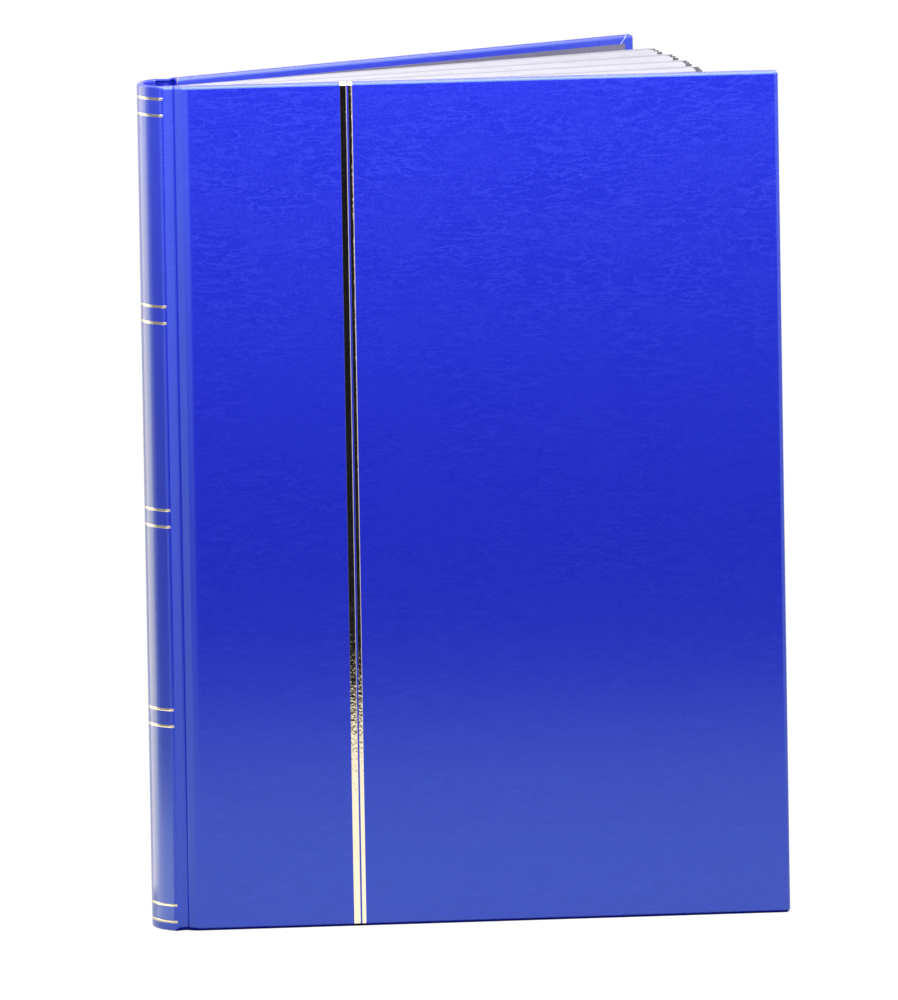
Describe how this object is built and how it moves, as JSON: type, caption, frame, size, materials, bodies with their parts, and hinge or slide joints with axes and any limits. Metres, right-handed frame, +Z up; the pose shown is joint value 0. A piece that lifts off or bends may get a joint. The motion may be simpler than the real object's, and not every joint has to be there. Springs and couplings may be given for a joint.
{
  "type": "stamp album",
  "caption": "Hardback stock book for stamps with a rounded spine, hinged covers, fanning card leaves with clear strip pockets and glassine interleaves, standing open.",
  "frame": {"origin": "middle of the space it takes up as it stands, on the surface under its lower edges", "axes": "+Z up along the spine, +X from the spine to the fore edge, the front cover faces -Y"},
  "size_m": [0.2296, 0.1526, 0.305],
  "materials": {
    "leatherette": "glossy grained leatherette, royal blue",
    "grey_board": "raw grey board",
    "endpaper": "matt dark endpaper",
    "gold_foil": "hot stamped foil",
    "block_glue_paper": "glued backing paper",
    "linen": "woven linen tape",
    "black_card": "matt card",
    "clear_film": "clear film",
    "glassine": "translucent glassine"
  },
  "bodies": {
    "spine": {"spine_skin": "leatherette", "spine_lining": "grey_board", "spine_gold_lines": "gold_foil", "cover_joints": "leatherette", "block_backing": "block_glue_paper", "linen_hinges": "linen"},
    "front_cover": {"front_board": "grey_board", "front_skin": "leatherette", "front_pastedown": "endpaper", "front_gold_stripes": "gold_foil"},
    "back_cover": {"back_board": "grey_board", "back_skin": "leatherette", "back_pastedown": "endpaper"},
    "leaf_01": {"leaf_01_card": "black_card", "leaf_01_strips": "clear_film"},
    "leaf_02": {"leaf_02_card": "black_card", "leaf_02_strips": "clear_film"},
    "leaf_03": {"leaf_03_card": "black_card", "leaf_03_strips": "clear_film"},
    "leaf_04": {"leaf_04_card": "black_card", "leaf_04_strips": "clear_film"},
    "leaf_05": {"leaf_05_card": "black_card", "leaf_05_strips": "clear_film"},
    "leaf_06": {"leaf_06_card": "black_card", "leaf_06_strips": "clear_film"},
    "leaf_07": {"leaf_07_card": "black_card", "leaf_07_strips": "clear_film"},
    "leaf_08": {"leaf_08_card": "black_card", "leaf_08_strips": "clear_film"},
    "leaf_09": {"leaf_09_card": "black_card", "leaf_09_strips": "clear_film"},
    "leaf_10": {"leaf_10_card": "black_card", "leaf_10_strips": "clear_film"},
    "leaf_11": {"leaf_11_card": "black_card", "leaf_11_strips": "clear_film"},
    "leaf_12": {"leaf_12_card": "black_card", "leaf_12_strips": "clear_film"},
    "leaf_13": {"leaf_13_card": "black_card", "leaf_13_strips": "clear_film"},
    "leaf_14": {"leaf_14_card": "black_card", "leaf_14_strips": "clear_film"},
    "leaf_15": {"leaf_15_card": "black_card", "leaf_15_strips": "clear_film"},
    "leaf_16": {"leaf_16_card": "black_card", "leaf_16_strips": "clear_film"},
    "interleaf_01": {"interleaf_01": "glassine"},
    "interleaf_02": {"interleaf_02": "glassine"},
    "interleaf_03": {"interleaf_03": "glassine"},
    "interleaf_04": {"interleaf_04": "glassine"},
    "interleaf_05": {"interleaf_05": "glassine"},
    "interleaf_06": {"interleaf_06": "glassine"},
    "interleaf_07": {"interleaf_07": "glassine"},
    "interleaf_08": {"interleaf_08": "glassine"},
    "interleaf_09": {"interleaf_09": "glassine"},
    "interleaf_10": {"interleaf_10": "glassine"},
    "interleaf_11": {"interleaf_11": "glassine"},
    "interleaf_12": {"interleaf_12": "glassine"},
    "interleaf_13": {"interleaf_13": "glassine"},
    "interleaf_14": {"interleaf_14": "glassine"},
    "interleaf_15": {"interleaf_15": "glassine"}
  },
  "joints": [
    {"name": "back_cover_hinge", "type": "hinge", "parent": "spine", "child": "back_cover", "pos_m": [-0.10353, -0.04456, 0], "axis": [0, 0, 1], "range_deg": [-33.3, 56.7], "deforming": ["cover_joints", "linen_hinges"]},
    {"name": "front_cover_hinge", "type": "hinge", "parent": "spine", "child": "front_cover", "pos_m": [-0.10353, -0.07504, 0], "axis": [0, 0, -1], "range_deg": [0, 90], "deforming": ["cover_joints", "linen_hinges"]},
    {"name": "leaf_01_hinge", "type": "hinge", "parent": "spine", "child": "leaf_01", "pos_m": [-0.10172, -0.07165, 0], "axis": [0, 0, 1], "range_deg": [-5.5, 9.36]},
    {"name": "leaf_02_hinge", "type": "hinge", "parent": "spine", "child": "leaf_02", "pos_m": [-0.10185, -0.07007, 0], "axis": [0, 0, 1], "range_deg": [-7.86, 13.39]},
    {"name": "leaf_03_hinge", "type": "hinge", "parent": "spine", "child": "leaf_03", "pos_m": [-0.10196, -0.06849, 0], "axis": [0, 0, 1], "range_deg": [-8.85, 15.07]},
    {"name": "leaf_04_hinge", "type": "hinge", "parent": "spine", "child": "leaf_04", "pos_m": [-0.10204, -0.06691, 0], "axis": [0, 0, 1], "range_deg": [-9.84, 16.75]},
    {"name": "leaf_05_hinge", "type": "hinge", "parent": "spine", "child": "leaf_05", "pos_m": [-0.10212, -0.06533, 0], "axis": [0, 0, 1], "range_deg": [-12.21, 20.78]},
    {"name": "leaf_06_hinge", "type": "hinge", "parent": "spine", "child": "leaf_06", "pos_m": [-0.10217, -0.06375, 0], "axis": [0, 0, 1], "range_deg": [-13.19, 22.46]},
    {"name": "leaf_07_hinge", "type": "hinge", "parent": "spine", "child": "leaf_07", "pos_m": [-0.10221, -0.06217, 0], "axis": [0, 0, 1], "range_deg": [-14.18, 24.14]},
    {"name": "leaf_08_hinge", "type": "hinge", "parent": "spine", "child": "leaf_08", "pos_m": [-0.10222, -0.06059, 0], "axis": [0, 0, 1], "range_deg": [-16.55, 28.18]},
    {"name": "leaf_09_hinge", "type": "hinge", "parent": "spine", "child": "leaf_09", "pos_m": [-0.10222, -0.05901, 0], "axis": [0, 0, 1], "range_deg": [-17.54, 29.86]},
    {"name": "leaf_10_hinge", "type": "hinge", "parent": "spine", "child": "leaf_10", "pos_m": [-0.10221, -0.05743, 0], "axis": [0, 0, 1], "range_deg": [-18.52, 31.54]},
    {"name": "leaf_11_hinge", "type": "hinge", "parent": "spine", "child": "leaf_11", "pos_m": [-0.10217, -0.05585, 0], "axis": [0, 0, 1], "range_deg": [-20.89, 35.57]},
    {"name": "leaf_12_hinge", "type": "hinge", "parent": "spine", "child": "leaf_12", "pos_m": [-0.10212, -0.05427, 0], "axis": [0, 0, 1], "range_deg": [-21.88, 37.25]},
    {"name": "leaf_13_hinge", "type": "hinge", "parent": "spine", "child": "leaf_13", "pos_m": [-0.10204, -0.05269, 0], "axis": [0, 0, 1], "range_deg": [-22.86, 38.93]},
    {"name": "leaf_14_hinge", "type": "hinge", "parent": "spine", "child": "leaf_14", "pos_m": [-0.10196, -0.05111, 0], "axis": [0, 0, 1], "range_deg": [-25.23, 42.96]},
    {"name": "leaf_15_hinge", "type": "hinge", "parent": "spine", "child": "leaf_15", "pos_m": [-0.10185, -0.04953, 0], "axis": [0, 0, 1], "range_deg": [-26.22, 44.64]},
    {"name": "leaf_16_hinge", "type": "hinge", "parent": "spine", "child": "leaf_16", "pos_m": [-0.10172, -0.04795, 0], "axis": [0, 0, 1], "range_deg": [-27.21, 46.32]},
    {"name": "interleaf_01_fold", "type": "hinge", "parent": "spine", "child": "interleaf_01", "pos_m": [-0.10179, -0.07086, 0], "axis": [0, 0, 1], "range_deg": [-7.37, 12.55]},
    {"name": "interleaf_02_fold", "type": "hinge", "parent": "spine", "child": "interleaf_02", "pos_m": [-0.1019, -0.06928, 0], "axis": [0, 0, 1], "range_deg": [-8.36, 14.23]},
    {"name": "interleaf_03_fold", "type": "hinge", "parent": "spine", "child": "interleaf_03", "pos_m": [-0.102, -0.0677, 0], "axis": [0, 0, 1], "range_deg": [-9.34, 15.91]},
    {"name": "interleaf_04_fold", "type": "hinge", "parent": "spine", "child": "interleaf_04", "pos_m": [-0.10208, -0.06612, 0], "axis": [0, 0, 1], "range_deg": [-11.71, 19.94]},
    {"name": "interleaf_05_fold", "type": "hinge", "parent": "spine", "child": "interleaf_05", "pos_m": [-0.10214, -0.06454, 0], "axis": [0, 0, 1], "range_deg": [-12.7, 21.62]},
    {"name": "interleaf_06_fold", "type": "hinge", "parent": "spine", "child": "interleaf_06", "pos_m": [-0.10219, -0.06296, 0], "axis": [0, 0, 1], "range_deg": [-13.69, 23.3]},
    {"name": "interleaf_07_fold", "type": "hinge", "parent": "spine", "child": "interleaf_07", "pos_m": [-0.10222, -0.06138, 0], "axis": [0, 0, 1], "range_deg": [-16.05, 27.34]},
    {"name": "interleaf_08_fold", "type": "hinge", "parent": "spine", "child": "interleaf_08", "pos_m": [-0.10222, -0.0598, 0], "axis": [0, 0, 1], "range_deg": [-17.04, 29.02]},
    {"name": "interleaf_09_fold", "type": "hinge", "parent": "spine", "child": "interleaf_09", "pos_m": [-0.10222, -0.05822, 0], "axis": [0, 0, 1], "range_deg": [-18.03, 30.7]},
    {"name": "interleaf_10_fold", "type": "hinge", "parent": "spine", "child": "interleaf_10", "pos_m": [-0.10219, -0.05664, 0], "axis": [0, 0, 1], "range_deg": [-20.4, 34.73]},
    {"name": "interleaf_11_fold", "type": "hinge", "parent": "spine", "child": "interleaf_11", "pos_m": [-0.10214, -0.05506, 0], "axis": [0, 0, 1], "range_deg": [-21.38, 36.41]},
    {"name": "interleaf_12_fold", "type": "hinge", "parent": "spine", "child": "interleaf_12", "pos_m": [-0.10208, -0.05348, 0], "axis": [0, 0, 1], "range_deg": [-22.37, 38.09]},
    {"name": "interleaf_13_fold", "type": "hinge", "parent": "spine", "child": "interleaf_13", "pos_m": [-0.102, -0.0519, 0], "axis": [0, 0, 1], "range_deg": [-24.74, 42.12]},
    {"name": "interleaf_14_fold", "type": "hinge", "parent": "spine", "child": "interleaf_14", "pos_m": [-0.1019, -0.05032, 0], "axis": [0, 0, 1], "range_deg": [-25.73, 43.8]},
    {"name": "interleaf_15_fold", "type": "hinge", "parent": "spine", "child": "interleaf_15", "pos_m": [-0.10179, -0.04874, 0], "axis": [0, 0, 1], "range_deg": [-26.71, 45.48]}
  ],
  "couplings": [
    {"joint": "leaf_01_hinge", "follows": "back_cover_hinge", "ratio": 0.165},
    {"joint": "leaf_02_hinge", "follows": "back_cover_hinge", "ratio": 0.23613},
    {"joint": "leaf_03_hinge", "follows": "back_cover_hinge", "ratio": 0.26576},
    {"joint": "leaf_04_hinge", "follows": "back_cover_hinge", "ratio": 0.2954},
    {"joint": "leaf_05_hinge", "follows": "back_cover_hinge", "ratio": 0.36653},
    {"joint": "leaf_06_hinge", "follows": "back_cover_hinge", "ratio": 0.39616},
    {"joint": "leaf_07_hinge", "follows": "back_cover_hinge", "ratio": 0.4258},
    {"joint": "leaf_08_hinge", "follows": "back_cover_hinge", "ratio": 0.49693},
    {"joint": "leaf_09_hinge", "follows": "back_cover_hinge", "ratio": 0.52656},
    {"joint": "leaf_10_hinge", "follows": "back_cover_hinge", "ratio": 0.5562},
    {"joint": "leaf_11_hinge", "follows": "back_cover_hinge", "ratio": 0.62733},
    {"joint": "leaf_12_hinge", "follows": "back_cover_hinge", "ratio": 0.65696},
    {"joint": "leaf_13_hinge", "follows": "back_cover_hinge", "ratio": 0.6866},
    {"joint": "leaf_14_hinge", "follows": "back_cover_hinge", "ratio": 0.75773},
    {"joint": "leaf_15_hinge", "follows": "back_cover_hinge", "ratio": 0.78736},
    {"joint": "leaf_16_hinge", "follows": "back_cover_hinge", "ratio": 0.817},
    {"joint": "interleaf_01_fold", "follows": "back_cover_hinge", "ratio": 0.22131},
    {"joint": "interleaf_02_fold", "follows": "back_cover_hinge", "ratio": 0.25094},
    {"joint": "interleaf_03_fold", "follows": "back_cover_hinge", "ratio": 0.28058},
    {"joint": "interleaf_04_fold", "follows": "back_cover_hinge", "ratio": 0.35171},
    {"joint": "interleaf_05_fold", "follows": "back_cover_hinge", "ratio": 0.38134},
    {"joint": "interleaf_06_fold", "follows": "back_cover_hinge", "ratio": 0.41098},
    {"joint": "interleaf_07_fold", "follows": "back_cover_hinge", "ratio": 0.48211},
    {"joint": "interleaf_08_fold", "follows": "back_cover_hinge", "ratio": 0.51175},
    {"joint": "interleaf_09_fold", "follows": "back_cover_hinge", "ratio": 0.54138},
    {"joint": "interleaf_10_fold", "follows": "back_cover_hinge", "ratio": 0.61251},
    {"joint": "interleaf_11_fold", "follows": "back_cover_hinge", "ratio": 0.64214},
    {"joint": "interleaf_12_fold", "follows": "back_cover_hinge", "ratio": 0.67178},
    {"joint": "interleaf_13_fold", "follows": "back_cover_hinge", "ratio": 0.74291},
    {"joint": "interleaf_14_fold", "follows": "back_cover_hinge", "ratio": 0.77255},
    {"joint": "interleaf_15_fold", "follows": "back_cover_hinge", "ratio": 0.80218}
  ]
}
